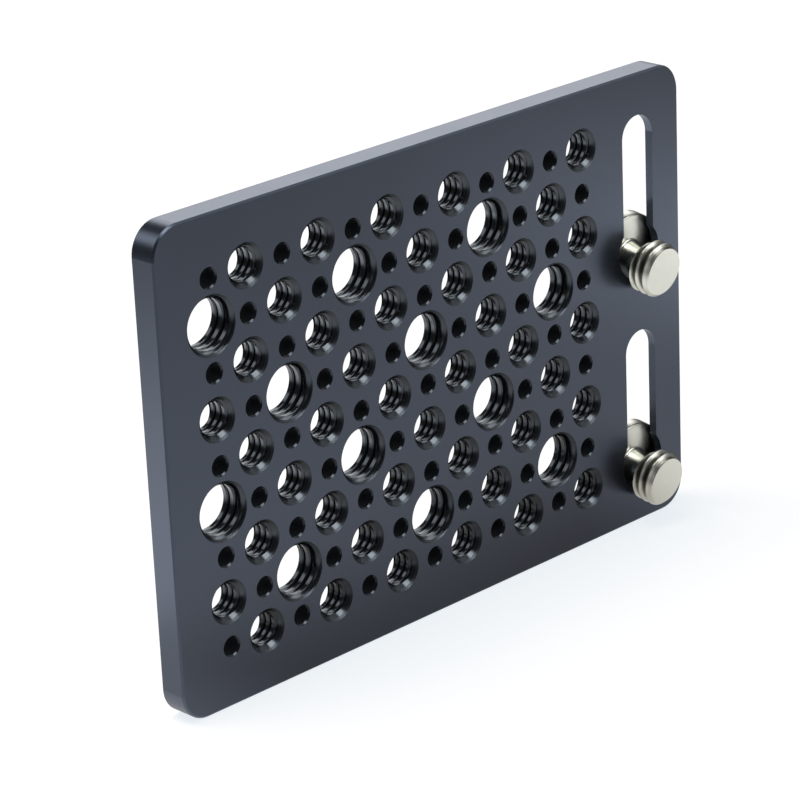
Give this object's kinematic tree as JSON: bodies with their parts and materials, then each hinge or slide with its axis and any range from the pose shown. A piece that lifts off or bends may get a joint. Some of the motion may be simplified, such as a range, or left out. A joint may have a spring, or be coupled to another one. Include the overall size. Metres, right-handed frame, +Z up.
{
  "type": "camera mounting plate",
  "caption": "Flat rectangular plate with a close grid of tapped and plain through holes, and captive screws that slide in keyhole slots at one end, for fixing cameras and accessories.",
  "frame": {"origin": "middle of the long edge that the plate stands on, halfway through its thickness", "axes": "+X along the plate towards the slots, +Y from the front face to the back, +Z up"},
  "size_m": [0.1174, 0.0121, 0.08],
  "materials": {
    "black_anodised": "satin black anodised",
    "bright_steel": "bright turned steel"
  },
  "bodies": {
    "plate": {"plate": "black_anodised"},
    "upper_screw": {"upper_captive_screw": "bright_steel"},
    "lower_screw": {"lower_captive_screw": "bright_steel"}
  },
  "joints": [
    {"name": "upper_screw_slide", "type": "slide", "parent": "plate", "child": "upper_screw", "axis": [0, 0, 1], "range_m": [0, 0.0222]},
    {"name": "lower_screw_slide", "type": "slide", "parent": "plate", "child": "lower_screw", "axis": [0, 0, 1], "range_m": [0, 0.0222]}
  ]
}
